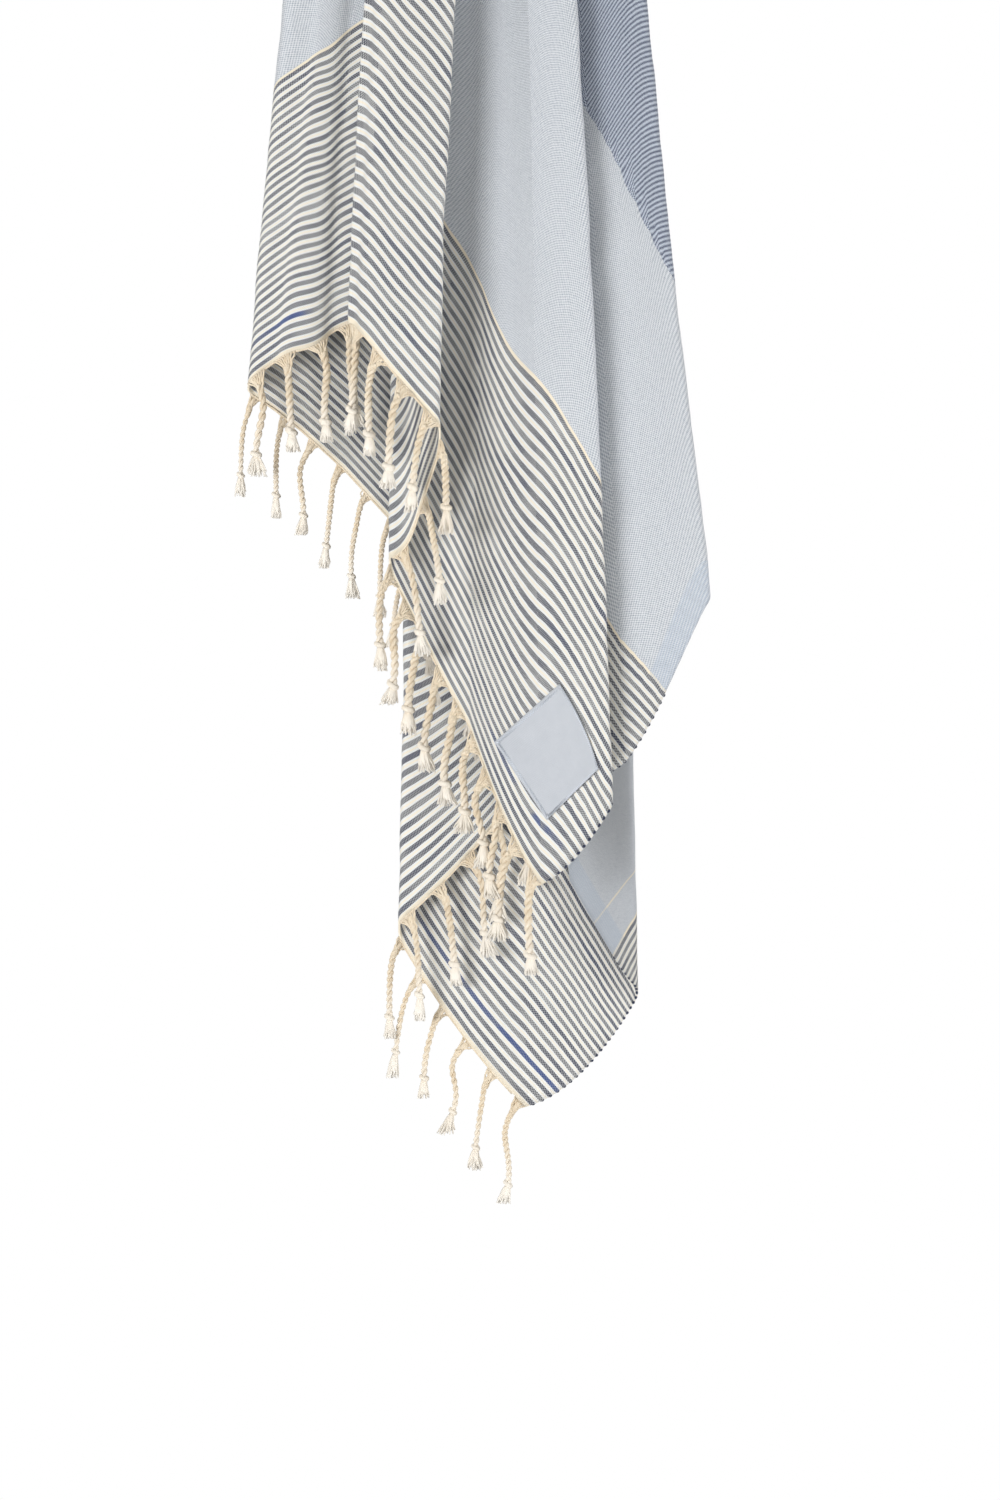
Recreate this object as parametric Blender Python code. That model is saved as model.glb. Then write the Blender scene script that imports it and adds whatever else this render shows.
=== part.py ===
# Hammam towel, hung from the middle of its length and gathered into folds.
#
# The sheet is one solid. Its front half hangs towards -Y in the folds of the table FOLDS, goes over the crown
# at the top, and comes down behind as a shorter half with the same folds. Each height has a section: a rounded
# zigzag through the folds. The hem and the long edges cut the sections off below. Tassels hang from narrow
# strips along both hems, and a small label lies on the front.
#
# Metres in the scene, millimetres in the tables. X is across, -Y is the front, Z is up, and the origin is the
# top of the crown, where the towel is held.

from collections import namedtuple

import bpy
import numpy as np

MM = 0.001

# The sheet
SHEET_THICKNESS = 1.4
LAYER_PITCH = 2.5         # from one layer to the next at the crown
INNER_RADIUS = 2.2        # bend of the innermost layer
INNERMOST_LAYER = 9       # number of the innermost layer; the outermost is 0
OUTER_RADIUS = INNER_RADIUS + LAYER_PITCH * INNERMOST_LAYER
CROWN_SPRING = -OUTER_RADIUS - SHEET_THICKNESS / 2   # height at which the layers start to bend over the crown
SHOULDER_DROP = 14.0      # how far the crown's two ends sink below its middle
SHOULDER_REACH = 59.0     # half width of the crown
SHOULDER_FADE = (-90.0, -300.0)

# Heights at which FOLDS gives a value, from the crown down
LEVELS = np.array([CROWN_SPRING, -180.0, -350.0, -545.0, -740.0, -935.0])
LOWEST = LEVELS[-1] - 200.0

# One row for each fold, in order along the width of the sheet, from one long edge to the other.
#   turn     1 folds back at its right end, -1 at its left end, 0 only passes through
#   layers   layers that it joins at the crown
#   x        across, at the six LEVELS
#   y        depth of the middle of the fold, at the five LEVELS below the crown
#   opening  width of the fold in depth, at the same five
#   hem      height of the front half's edge there
#   bow      how far that edge dips between this fold and the next
#   back_hem height of the back half's edge there
Fold = namedtuple("Fold", "name turn layers x y opening hem bow back_hem")
FOLDS = (
    Fold("edge_left", 0, (8, 8), (10, 20, 20, 30, 48, 70), (6, 19, 32, 34, 34), (0, 0, 0, 0, 0), -925, 8, -690),
    Fold("right_low", 1, (8, 9), (44, 82, 96, 103, 108, 112), (8, 21.5, 34.5, 37, 37), (4, 5, 6, 7, 8), -998, 14, -770),
    Fold("corner_low", 0, (9, 9), (12, 22, 28, 33, 36, 39), (10, 24, 37, 40, 40), (0, 0, 0, 0, 0), -1075, 7, -850),
    Fold("left_low", -1, (9, 7), (-36, -52, -48, -44, -40, -44), (6, 19, 32, 34, 35), (8, 10, 10, 12, 12), -956, 8, -790),
    Fold("right_mid", 1, (7, 6), (34, 62, 66, 62, 58, 55), (-1, 11, 22.5, 23, 23), (5, 6, 8, 9, 10), -835, -28, -690),
    Fold("left_wide", -1, (6, 2), (-59, -102, -118, -137, -152, -165), (-20, -25, -27, -27, -27), (18, 20, 18, 16, 16),
         -601, 0, -530),
    Fold("crease", 1, (2, 1), (-32, -46, -56, -66, -69, -71), (-29, -36, -39, -39, -39), (4, 5, 5, 5, 5), -559, 0, -510),
    Fold("lap", -1, (1, 0), (-40, -54, -64.5, -75, -78, -80), (-33, -41, -44, -44, -44), (4, 5, 5, 5, 5), -560, 0, -512),
    Fold("swell", 0, (0, 0), (-15, -27, -35, -45, -47, -48), (-43, -59, -63, -63, -63), (0, 0, 0, 0, 0), -594, 0, -536),
    Fold("right_front", 1, (0, 1), (10, -2, -6.5, -15, -16, -16), (-36, -51, -54, -54, -54), (6, 8, 10, 10, 10),
         -632, 20, -560),
    Fold("left_mid", -1, (1, 2), (-24, -40, -44, -47, -50, -52), (-28, -33, -28, -25, -25), (5, 7, 9, 10, 10),
         -714, 0, -640),
    Fold("valley", 0, (2, 2), (6, 9, 10.4, 8.5, -0.7, -2), (-24, -23, -22, -21, -21), (0, 0, 0, 0, 0), -823, 0, -700),
    Fold("corner_high", 0, (2, 2), (20, 34, 42, 46, 49, 52), (-26, -33, -33, -34, -36), (0, 0, 0, 0, 0), -926, 7, -760),
    Fold("ridge", 1, (2, 3), (36, 61, 71.5, 82.6, 91, 97), (-29, -46, -52, -55, -55), (5, 6, 7, 7, 7), -872, 0, -735),
    Fold("tuck", -1, (3, 4), (20, 36, 40, 52, 70, 84), (-20, -27, -30, -36, -41), (4, 5, 5, 5, 5), -861, 0, -730),
    Fold("bend", 0, (4, 4), (37, 63, 74, 86, 95, 101), (-18, -34, -40, -44, -46), (0, 0, 0, 0, 0), -846, -6, -715),
    Fold("right_wide", 1, (4, 5), (59, 102, 118, 137, 159.5, 178), (-18, -26, -32, -34, -34), (8.5, 9, 8, 8, 8),
         -737, 0, -640),
    Fold("edge_right", 0, (5, 5), (24, 40, 46, 76, 112, 130), (-9, -12, -17, -19, -19), (0, 0, 0, 0, 0), -655, 0, -600),
)
NAMES = [fold.name for fold in FOLDS]

# The back half: depth of its innermost layer, and how much of the front half's depth it keeps, at the LEVELS
BACK_FIRST = (INNER_RADIUS, 15, 31, 46, 50, 50)
BACK_DEPTH = (1.0, 0.85, 0.78, 0.75, 0.75, 0.75)
FRONT_LAST = (-INNER_RADIUS, 10, 24, 37, 40, 40)      # depth of the front half's innermost layer
BACK_WIDTH = (1.0, 0.98, 0.92, 0.80, 0.60, 0.60)
BACK_SHIFT = (0.0, 0.0, 2.0, 8.0, 22.0, 22.0)

# The grid of the sheet
STEPS = {"lead": 2, "tip": 2, "pass": 2, "end": 1}   # columns for each control point of a section
FRONT_ROWS = 14
CROWN_ROWS = 6
BACK_ROWS = 8
PANEL_SAMPLES = 60        # points that measure the width of a panel
HEM_SAMPLES = 400         # points that measure the hem of a panel

# The fringe
TASSEL_SPACING = 23.5
SIDEWAYS_SPACING = 7.8    # straight across, where the hem is steep
ROOT_WIDTH = 5.0
TASSEL_CLEARANCE = 0.8
STRIP_GAP = 0.4
STRIP_HEIGHT = 2.0
FOLD_CLEARANCE = 12.0     # from a fold's tip to the first tassel
NEAR = 0.02               # places closer than this along a section are taken as one
# Rings of one tassel: distance below its root, width, depth
TASSEL_RINGS = (
    (9.0, 5.6, 4.4),      # cord, just below the hem
    (44.0, 5.8, 4.4),     # cord, above the knot
    (49.0, 8.4, 5.6),     # knot
    (54.0, 5.8, 4.2),     # neck of the frayed tip
    (72.0, 7.6, 4.8),     # end of the frayed tip
)

# One row for each hanging panel of the hem: its name and the two folds that it lies between
Panel = namedtuple("Panel", "name first last")
PANELS = (
    Panel("low", "corner_low", "left_low"),
    Panel("inner", "left_low", "right_mid"),
    Panel("behind", "right_mid", "left_wide"),
    Panel("front_left", "left_wide", "crease"),
    Panel("front_right", "lap", "right_front"),
    Panel("turned", "right_front", "left_mid"),
    Panel("main", "left_mid", "corner_high"),
)

# The label: corners across and up, and how it lies on the main panel
LABEL_CORNERS = {"top": (62.4, -795.6), "left": (19.5, -833.3), "low": (53.9, -884.0), "right": (87.0, -851.0)}
LABEL_BULGE = 2.5         # how far the edge on the ridge bows outwards
LABEL_OUTWARDS = np.array([1.0, 0.35])
LABEL_THICKNESS = 0.6
LABEL_GAP = 0.45
LABEL_STEPS = 8

COLOURS = {
    "cloth": (0.36, 0.42, 0.50, 1.0),
    "label": (0.55, 0.62, 0.72, 1.0),
    "fringe": (0.80, 0.71, 0.57, 1.0),
}


def make_material(name, roughness):
    """A matt woven finish in one of the COLOURS."""
    material = bpy.data.materials.new(name)
    material.use_nodes = True
    shader = material.node_tree.nodes["Principled BSDF"]
    shader.inputs["Base Color"].default_value = COLOURS[name]
    shader.inputs["Roughness"].default_value = roughness
    shader.inputs["Metallic"].default_value = 0.0
    return material


def add_solid(name, points, faces, material):
    """An object made of points in millimetres and quads."""
    mesh = bpy.data.meshes.new(name)
    mesh.from_pydata((np.asarray(points) * MM).tolist(), [], [list(face) for face in faces])
    mesh.shade_smooth()
    mesh.materials.append(material)
    solid = bpy.data.objects.new(name, mesh)
    bpy.context.scene.collection.objects.link(solid)
    return solid


def at_height(values, z):
    """Reads a row of values, given at the LEVELS, at the heights z: a cubic with the mean slopes of its ends."""
    values = np.asarray(values, float)
    slopes = np.gradient(values, LEVELS)
    z = np.clip(z, LOWEST, LEVELS[0])
    index = np.clip(np.searchsorted(-LEVELS, -z, side="right") - 1, 0, len(LEVELS) - 2)
    span = LEVELS[index + 1] - LEVELS[index]
    t = np.clip((z - LEVELS[index]) / span, 0.0, 1.0)
    beyond = np.minimum(z - LEVELS[-1], 0.0)
    start, end = values[index], values[index + 1]
    curve = start + t * t * (3 - 2 * t) * (end - start)
    curve = curve + span * (t * (1 - t) ** 2 * slopes[index] - t * t * (1 - t) * slopes[index + 1])
    return curve + beyond * slopes[-1]


def crown_depth(layer):
    """Depth of a layer where it reaches the crown."""
    return -(INNER_RADIUS + LAYER_PITCH * (INNERMOST_LAYER - layer))


def section_controls(half):
    """The control points of a half's sections, each as its x and y at the LEVELS, with the place of each fold.

    A fold that turns has four: a lead and a tip on the panel that comes in, and the same on the one that leaves.
    """
    controls, kinds, places = [], [], []
    for fold in FOLDS:
        x = np.array(fold.x, float)
        first, last = (crown_depth(layer) for layer in fold.layers)
        y = np.array(((first + last) / 2, *fold.y))
        opening = np.array((abs(last - first), *fold.opening), float)
        if half == "back":
            x = x * BACK_WIDTH + BACK_SHIFT
            y = np.array(BACK_FIRST) + BACK_DEPTH * (np.array(FRONT_LAST) - y)
            opening = -opening * BACK_DEPTH
        if fold.turn == 0:
            places.append(len(controls) + 0.5)
            controls.append((x, y))
            kinds.append("end" if "edge" in fold.name else "pass")
            continue
        # A layer with a higher number lies further back in the front half, and further forward in the back half
        side = 1 if fold.layers[1] > fold.layers[0] else -1
        incoming, leaving = -side * opening / 2, side * opening / 2
        lead = fold.turn * np.abs(opening)
        places.append(len(controls) + 2.0)
        controls += [(x - lead, y + incoming), (x, y + incoming), (x, y + leaving), (x - lead, y + leaving)]
        kinds += ["lead", "tip", "tip", "lead"]
    places[0] = 0.0
    places[-1] = float(len(controls))
    return controls, kinds, np.array(places)


class Half:
    """The front or the back half of the sheet: its sections and its lower edge."""

    def __init__(self, name):
        self.name = name
        self.controls, self.kinds, self.places = section_controls(name)
        self.hems = np.array([fold.hem if name == "front" else fold.back_hem for fold in FOLDS], float)
        self.bows = np.array([fold.bow if name == "front" else 0.0 for fold in FOLDS], float)
        self.shares = [self.panel_shares(panel) for panel in range(len(FOLDS) - 1)]

    def section(self, s, z):
        """X and Y at the places s along the section and the heights z: a quadratic B-spline."""
        s, z = np.broadcast_arrays(np.asarray(s, float), np.asarray(z, float))
        last = len(self.controls) - 1
        index = np.clip(np.floor(s).astype(int), 0, last)
        t = s - index
        weights = {-1: (1 - t) ** 2 / 2, 0: 0.5 + t * (1 - t), 1: t * t / 2}
        x, y = np.zeros(s.shape), np.zeros(s.shape)
        for control in range(last + 1):
            control_x = control_y = None
            for offset, weight in weights.items():
                here = np.clip(index + offset, 0, last) == control
                if not here.any():
                    continue
                if control_x is None:
                    control_x = at_height(self.controls[control][0], z)
                    control_y = at_height(self.controls[control][1], z)
                x += np.where(here, weight * control_x, 0.0)
                y += np.where(here, weight * control_y, 0.0)
        return x, y

    def panel_shares(self, panel):
        """Places across a panel and the share of its width up to each of them, measured at its hem."""
        s = np.linspace(self.places[panel], self.places[panel + 1], PANEL_SAMPLES)
        x, y = self.section(s, np.full(s.shape, self.hems[panel:panel + 2].mean()))
        length = np.concatenate([[0.0], np.cumsum(np.hypot(np.diff(x), np.diff(y)))])
        return s, length / length[-1]

    def edge(self, s):
        """Height of the lower edge: straight on the flat cloth from fold to fold, with each panel's bow."""
        s = np.asarray(s, float)
        z = np.empty(s.shape)
        for panel, (places, shares) in enumerate(self.shares):
            here = (s >= places[0]) & (s <= places[-1])
            share = np.interp(s[here], places, shares)
            z[here] = self.hems[panel] + share * (self.hems[panel + 1] - self.hems[panel])
            z[here] -= 4 * share * (1 - share) * self.bows[panel]
        return z

    def hem_line(self, s):
        """X, Y and Z of the lower edge, in straight runs from column to column as the sheet has it."""
        columns = self.columns()
        z = self.edge(columns)
        x, y = self.section(columns, z)
        return (np.interp(s, columns, values) for values in (x, y, z))

    def columns(self):
        """Places of the grid's columns, close together round the tips of the folds."""
        places = [0.0]
        for index, kind in enumerate(self.kinds):
            steps = STEPS[kind]
            places += [index + (step + 1) / steps for step in range(steps)]
        return np.array(places)


def with_shoulders(points):
    """Lets the ends of the crown sink, fading out below it."""
    fade = np.clip((points[..., 2] - SHOULDER_FADE[1]) / (SHOULDER_FADE[0] - SHOULDER_FADE[1]), 0.0, 1.0)
    fade = fade * fade * (3 - 2 * fade)
    points = points.copy()
    points[..., 2] -= SHOULDER_DROP * fade * np.minimum(np.abs(points[..., 0]) / SHOULDER_REACH, 1.0) ** 2
    return points


def sheet_grid(front, back):
    """Middle surface of the sheet: rows from the front edge over the crown to the back edge."""
    s = front.columns()
    rows = []
    for half, count in ((front, FRONT_ROWS), (back, BACK_ROWS)):
        low = half.edge(s)
        shares = np.linspace(0.0, 1.0, count + 1)[:, None]
        z = low + (CROWN_SPRING - low) * shares
        x, y = half.section(s[None, :], z)
        rows.append(np.stack([x, y, z], axis=-1))
    spring = rows[0][-1]
    radius = -spring[:, 1]
    turned = []
    for step in range(1, CROWN_ROWS):
        angle = np.pi * step / CROWN_ROWS
        height = CROWN_SPRING + radius * np.sin(angle)
        turned.append(np.stack([spring[:, 0], -radius * np.cos(angle), height], axis=-1))
    grid = np.concatenate([rows[0], np.array(turned), rows[1][::-1]])
    return with_shoulders(grid)


def shell(grid, thickness, offset=0.0):
    """Closed points and quads of a sheet about a grid, with its middle moved along the normals by offset."""
    along, across = np.gradient(grid, axis=0), np.gradient(grid, axis=1)
    normals = np.cross(across, along)
    normals /= np.linalg.norm(normals, axis=-1, keepdims=True)
    outer = grid + normals * (offset + thickness / 2)
    inner = grid + normals * (offset - thickness / 2)
    rows, columns = grid.shape[:2]
    index = np.arange(rows * columns).reshape(rows, columns)
    quads = np.stack([index[:-1, :-1], index[:-1, 1:], index[1:, 1:], index[1:, :-1]], axis=-1).reshape(-1, 4)
    rim = np.concatenate([index[0, :], index[1:, -1], index[-1, -2::-1], index[-2:0:-1, 0]])
    following = np.roll(rim, -1)
    below = rows * columns
    walls = np.stack([following, rim, rim + below, following + below], axis=-1)
    # Both sides split each quad along the same diagonal
    faces = np.concatenate([quads, quads[:, [0, 3, 2, 1]] + below, walls])
    return np.concatenate([outer.reshape(-1, 3), inner.reshape(-1, 3)]), faces


def tassel_places(half, panel):
    """Places along a panel's hem of the two sides of each tassel's root.

    Tassels are TASSEL_SPACING apart along the hem, and SIDEWAYS_SPACING or more apart straight across.
    """
    first, last = half.places[NAMES.index(panel.first)], half.places[NAMES.index(panel.last)]
    s = np.linspace(first, last, HEM_SAMPLES)
    x, y, z = half.hem_line(s)
    steps = np.sqrt(np.diff(x) ** 2 + np.diff(y) ** 2 + np.diff(z) ** 2)
    length = np.concatenate([[0.0], np.cumsum(steps)])
    tassels = np.minimum(steps / TASSEL_SPACING, np.abs(np.diff(x)) / SIDEWAYS_SPACING)
    passed = np.concatenate([[0.0], np.cumsum(tassels)])
    margins = [ROOT_WIDTH if "corner" in name else FOLD_CLEARANCE for name in (panel.first, panel.last)]
    start, end = np.interp([margins[0], length[-1] - margins[1]], length, passed)
    count = max(1, int(end - start))
    centres = np.interp(np.linspace(start, end, count + 1), passed, length)
    sides = np.stack([centres - ROOT_WIDTH / 2, centres + ROOT_WIDTH / 2], axis=1)
    return np.interp(sides, length, s)


def strip_frame(half, s):
    """Along a hem at the places s: its points, its level direction, the way out of the cloth's face, the way down."""
    line = np.stack(list(half.hem_line(s)), axis=-1)
    along = np.gradient(line, axis=0)
    along /= np.linalg.norm(along, axis=-1, keepdims=True)
    level = along * (1.0, 1.0, 0.0)
    level /= np.linalg.norm(level, axis=-1, keepdims=True)
    outwards = np.stack([level[:, 1], -level[:, 0], np.zeros(len(s))], axis=-1)
    return line, level, outwards, np.cross(along, outwards)


def add_fringe(half, panel, material):
    """One panel's strip with its tassels: cells side by side, and each tassel drawn down out of its cell."""
    sides = tassel_places(half, panel)
    between = half.columns()
    between = between[(between > sides[0, 0]) & (between < sides[-1, 1])]
    between = [place for place in between if not ((sides[:, 0] - NEAR < place) & (place < sides[:, 1] + NEAR)).any()]
    s = np.sort(np.concatenate([sides.reshape(-1), between]))
    line, level, outwards, down = strip_frame(half, s)
    # Four points at each place: outer top, inner top, outer bottom, inner bottom
    points = [line + down * drop + outwards * side * SHEET_THICKNESS / 2
              for drop in (STRIP_GAP, STRIP_GAP + STRIP_HEIGHT) for side in (1, -1)]
    points = list(np.stack(points, axis=1).reshape(-1, 3))
    faces = []
    for cell in range(len(s) - 1):
        a, b = 4 * cell, 4 * cell + 4
        faces += [(a, b, b + 1, a + 1), (a, a + 2, b + 2, b), (a + 1, b + 1, b + 3, a + 3)]
        if s[cell] not in sides[:, 0]:
            faces.append((a + 2, a + 3, b + 3, b + 2))
            continue
        ring = [a + 2, a + 3, b + 3, b + 2]
        root = np.mean([points[index] for index in ring], axis=0)
        middle = (s[cell] + s[cell + 1]) / 2
        rise = down[cell] * (1.0, 1.0, 0.0)
        sine = np.linalg.norm(rise)
        slope = sine / np.sqrt(1.0 - sine * sine)
        # Beside a steep hem the tassel hangs further out, clear of the strip below it
        reach = max(0.0, *(width / 2 + TASSEL_CLEARANCE - drop / slope for drop, width, _ in TASSEL_RINGS))
        start = np.array(half.section(middle, root[2]))
        for drop, width, depth in TASSEL_RINGS:
            drift = np.array(half.section(middle, root[2] - drop)) - start
            centre = root + rise / sine * reach + (*drift, -drop)
            lower = list(range(len(points), len(points) + 4))
            for u, v in ((-1, 1), (-1, -1), (1, -1), (1, 1)):
                points.append(centre + level[cell] * u * width / 2 + outwards[cell] * v * depth / 2)
            faces += [(ring[k], ring[(k + 1) % 4], lower[(k + 1) % 4], lower[k]) for k in range(4)]
            ring = lower
        faces.append(tuple(ring))
    last = 4 * (len(s) - 1)
    faces += [(0, 1, 3, 2), (last, last + 2, last + 3, last + 1)]
    return add_solid("fringe_" + half.name + "_" + panel.name, points, faces, material)


def add_label(front, material):
    """The label: a square patch between its four corners, on the main panel's surface."""
    a, b = np.meshgrid(np.linspace(0, 1, LABEL_STEPS + 1), np.linspace(0, 1, LABEL_STEPS + 1), indexing="ij")
    top, left, low, right = (np.array(LABEL_CORNERS[name]) for name in ("top", "left", "low", "right"))
    a, b = a[..., None], b[..., None]
    flat = (1 - a) * ((1 - b) * left + b * top) + a * ((1 - b) * low + b * right)
    flat = flat + LABEL_OUTWARDS * LABEL_BULGE * 4 * a * (1 - a) * b ** 2
    first, last = front.places[NAMES.index("left_mid")], front.places[NAMES.index("ridge")]
    s = front.columns()
    s = s[(s >= first) & (s <= last)]
    depth = np.empty(flat.shape[:2])
    for place in np.ndindex(depth.shape):
        x, y = front.section(s, np.full(s.shape, flat[place][1]))
        depth[place] = np.interp(flat[place][0], x, y)
    grid = np.stack([flat[..., 0], depth, flat[..., 1]], axis=-1)
    offset = SHEET_THICKNESS / 2 + LABEL_GAP + LABEL_THICKNESS / 2
    points, faces = shell(grid, LABEL_THICKNESS, offset)
    return add_solid("label", points, faces, material)


def build():
    for leftover in list(bpy.data.objects):
        bpy.data.objects.remove(leftover, do_unlink=True)
    front, back = Half("front"), Half("back")
    points, faces = shell(sheet_grid(front, back), SHEET_THICKNESS)
    add_solid("cloth", points, faces, make_material("cloth", 0.9))
    add_label(front, make_material("label", 0.5))
    yarn = make_material("fringe", 0.9)
    for half in (front, back):
        for panel in PANELS:
            add_fringe(half, panel, yarn)


build()
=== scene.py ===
from collections import namedtuple
from types import SimpleNamespace as Numbers

import bpy
import numpy as np
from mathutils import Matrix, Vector


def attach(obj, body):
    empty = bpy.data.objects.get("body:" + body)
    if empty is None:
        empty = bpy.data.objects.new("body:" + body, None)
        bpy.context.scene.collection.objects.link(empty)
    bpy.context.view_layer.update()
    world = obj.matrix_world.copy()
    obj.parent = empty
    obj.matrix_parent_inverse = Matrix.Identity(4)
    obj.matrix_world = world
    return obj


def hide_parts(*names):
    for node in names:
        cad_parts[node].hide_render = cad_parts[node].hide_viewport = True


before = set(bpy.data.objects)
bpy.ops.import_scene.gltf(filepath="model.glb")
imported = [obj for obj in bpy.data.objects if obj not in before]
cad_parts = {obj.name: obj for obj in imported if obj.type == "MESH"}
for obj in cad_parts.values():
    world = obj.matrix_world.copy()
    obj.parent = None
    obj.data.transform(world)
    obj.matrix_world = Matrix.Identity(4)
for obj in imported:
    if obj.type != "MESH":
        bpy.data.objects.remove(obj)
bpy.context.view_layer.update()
mm = 0.001

# the sheet, in millimetres
cloth = Numbers(
    thickness=1.3,
    flat=(1.0, 1.75),  # metres
    layerPitch=2.5,  # from layer to layer over the crown
    innerRadius=2.2, innermost=9, crownCover=0.7,
    shoulderDrop=14.0, shoulderReach=59.0,
    shoulderFade=(-90.0, -300.0),
    stripes=31,
    stripeZone=194.0,  # from the hem to the cream line
    paleZone=216.0,  # from there to the denim blue
    leastPale=30.0,
    denimBelowCrown=4.0,
    steps={"lead": 4, "tip": 6, "pass": 8, "end": 6},
    frontRows=104, crownRows=12, backRows=52,
    panelSamples=80,
    lowestReach=200.0,  # how far the curves go on below the last level
)
stripePitch = cloth.stripeZone / cloth.stripes
outerRadius = cloth.innerRadius + cloth.layerPitch * cloth.innermost
crownSpring = -outerRadius - cloth.crownCover
levels = np.array([crownSpring, -180.0, -350.0, -545.0, -740.0, -935.0])

# The sheet is the CAD's with five more folds: one row for each, in order along the width.
# turn: 1 folds back at its right end, -1 at its left, 0 passes through. layers: what it joins at the crown.
# x: at the six heights of levels. y: depth, and opening: width in depth, at the five below the crown.
# hem and backHem: height of the lower edge. bow: how far it dips before the next fold.
# zero, cream, denim: heights where the woven pattern starts, has its cream line, and turns to denim.
# arch: how far these lines bulge upwards before the next fold.
closed = (0, 0, 0, 0, 0)  # the opening where the sheet only passes through
Fold = namedtuple("Fold", "name turn layers x y opening hem bow backHem zero cream denim arch")
folds = [Fold(*row) for row in (
    ("edgeLeft", 0, (8, 8), (10, 20, 20, 30, 48, 70), (6, 19, 32, 34, 34),
     closed, -925, 8, -690, -1355, -1017, -641, 0),
    ("rightLow", 1, (8, 9), (44, 82, 96, 103, 108, 112), (8, 21.5, 34.5, 37, 37),
     (4, 5, 6, 7, 8), -998, 14, -770, -1155, -945, -710, 0),
    ("cornerLow", 0, (9, 9), (12, 22, 28, 33, 36, 39), (10, 24, 37, 40, 40),
     closed, -1075, 7, -850, -1075, -790, -450, -6),
    ("leftLow", -1, (9, 7), (-36, -52, -48, -44, -40, -44), (6, 19, 32, 34, 35),
     (8, 10, 10, 12, 12), -956, 8, -790, -956, -672, -374, -8),
    ("rightMid", 1, (7, 6), (34, 62, 66, 62, 58, 55), (-1, 11, 22.5, 23, 23),
     (5, 6, 8, 9, 10), -835, -28, -690, -835, -635, -413, 28),
    ("leftWide", -1, (6, 2), (-59, -102, -118, -137, -152, -165), (-20, -25, -27, -27, -27),
     (18, 20, 18, 16, 16), -602, 0, -532, -602, -410, -190, 0),
    ("shoulder", 0, (2, 2), (-45, -79, -94, -115, -131, -144), (-30, -38, -41, -41, -41),
     closed, -581, 0, -526, -581, -386, -170, 0),
    ("brow", 0, (2, 2), (-43, -67, -81, -94, -99, -105), (-29.5, -38, -42, -43, -43),
     closed, -575, 0, -520, -575, -379, -163, 0),
    ("dent", 0, (2, 2), (-39, -60, -73, -86, -90, -94), (-26, -32, -34, -34, -34),
     closed, -566, 0, -515, -566, -370, -154, 0),
    ("crease", 1, (2, 1), (-32, -46, -56, -66, -69, -71), (-29, -36, -39, -39, -39),
     (4, 5, 5, 5, 5), -558, 0, -510, -558, -359, -143, 0),
    ("lap", -1, (1, 0), (-40, -54, -64.5, -75, -78, -80), (-33, -41, -44, -44, -44),
     (4, 5, 5, 5, 5), -560, 0, -512, -560, -287, -40, 0),
    ("roll", 0, (0, 0), (-31, -45, -55.5, -65.5, -68, -70), (-40, -53, -58, -58, -58),
     closed, -571, 0, -520, -571, -295, -42, 0),
    ("swell", 0, (0, 0), (-15, -27, -35, -45, -47, -48), (-43, -59, -63, -63, -63),
     closed, -594, 0, -536, -594, -315, -50, 0),
    ("rightFront", 1, (0, 1), (10, -2, -6.5, -15, -16, -16), (-36, -51, -54, -54, -54),
     (6, 8, 10, 10, 10), -632, 20, -560, -632, -350, -60, 0),
    ("leftMid", -1, (1, 2), (-24, -40, -44, -47, -50, -52), (-28, -33, -28, -25, -25),
     (5, 7, 9, 10, 10), -714, 0, -640, -714, -448, -153, 4),
    ("wall", 0, (2, 2), (-6, -11, -10, -8, -14, -16), (-25, -26, -17, -15, -15),
     closed, -787, 0, -673, -787, -503, -186, 0),
    ("valley", 0, (2, 2), (6, 9, 10.4, 8.5, -0.7, -2), (-24, -23, -22, -21, -21),
     closed, -823, 11, -700, -823, -538, -220, -6),
    ("cornerHigh", 0, (2, 2), (20, 34, 42, 46, 49, 52), (-26, -33, -33, -34, -36),
     closed, -926, 7, -760, -926, -598, -233, 8),
    ("ridge", 1, (2, 3), (36, 61, 71.5, 82.6, 91, 97), (-29, -46, -52, -55, -55),
     (5, 6, 7, 7, 7), -872, 0, -735, -1002, -670, -299, 0),
    ("tuck", -1, (3, 4), (20, 36, 40, 52, 70, 84), (-20, -27, -30, -36, -41),
     (4, 5, 5, 5, 5), -861, 0, -730, -1016, -715, -360, 0),
    ("bend", 0, (4, 4), (37, 63, 74, 86, 95, 101), (-18, -34, -40, -44, -46),
     closed, -846, -6, -715, -1031, -769, -422, 10),
    ("rightWide", 1, (4, 5), (59, 102, 118, 137, 159.5, 178), (-18, -26, -32, -34, -34),
     (8.5, 9, 8, 8, 8), -737, 0, -640, -1129, -867, -538, 0),
    ("edgeRight", 0, (5, 5), (24, 40, 46, 76, 112, 130), (-9, -12, -17, -19, -19),
     closed, -655, 0, -600, -1200, -937, -608, 0),
)]
foldNames = [fold.name for fold in folds]
back = Numbers(  # the back half repeats the front half's folds, with these changes at each level
    first=(2.2, 15, 31, 46, 50, 50),
    depth=(1.0, 0.85, 0.78, 0.75, 0.75, 0.75),
    frontLast=(-2.2, 10, 24, 37, 40, 40),
    width=(1.0, 0.98, 0.92, 0.80, 0.60, 0.60),
    shift=(0.0, 0.0, 2.0, 8.0, 22.0, 22.0),
)


def unit(vectors):
    return vectors / np.maximum(np.linalg.norm(vectors, axis=-1, keepdims=True), 1e-9)


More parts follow.
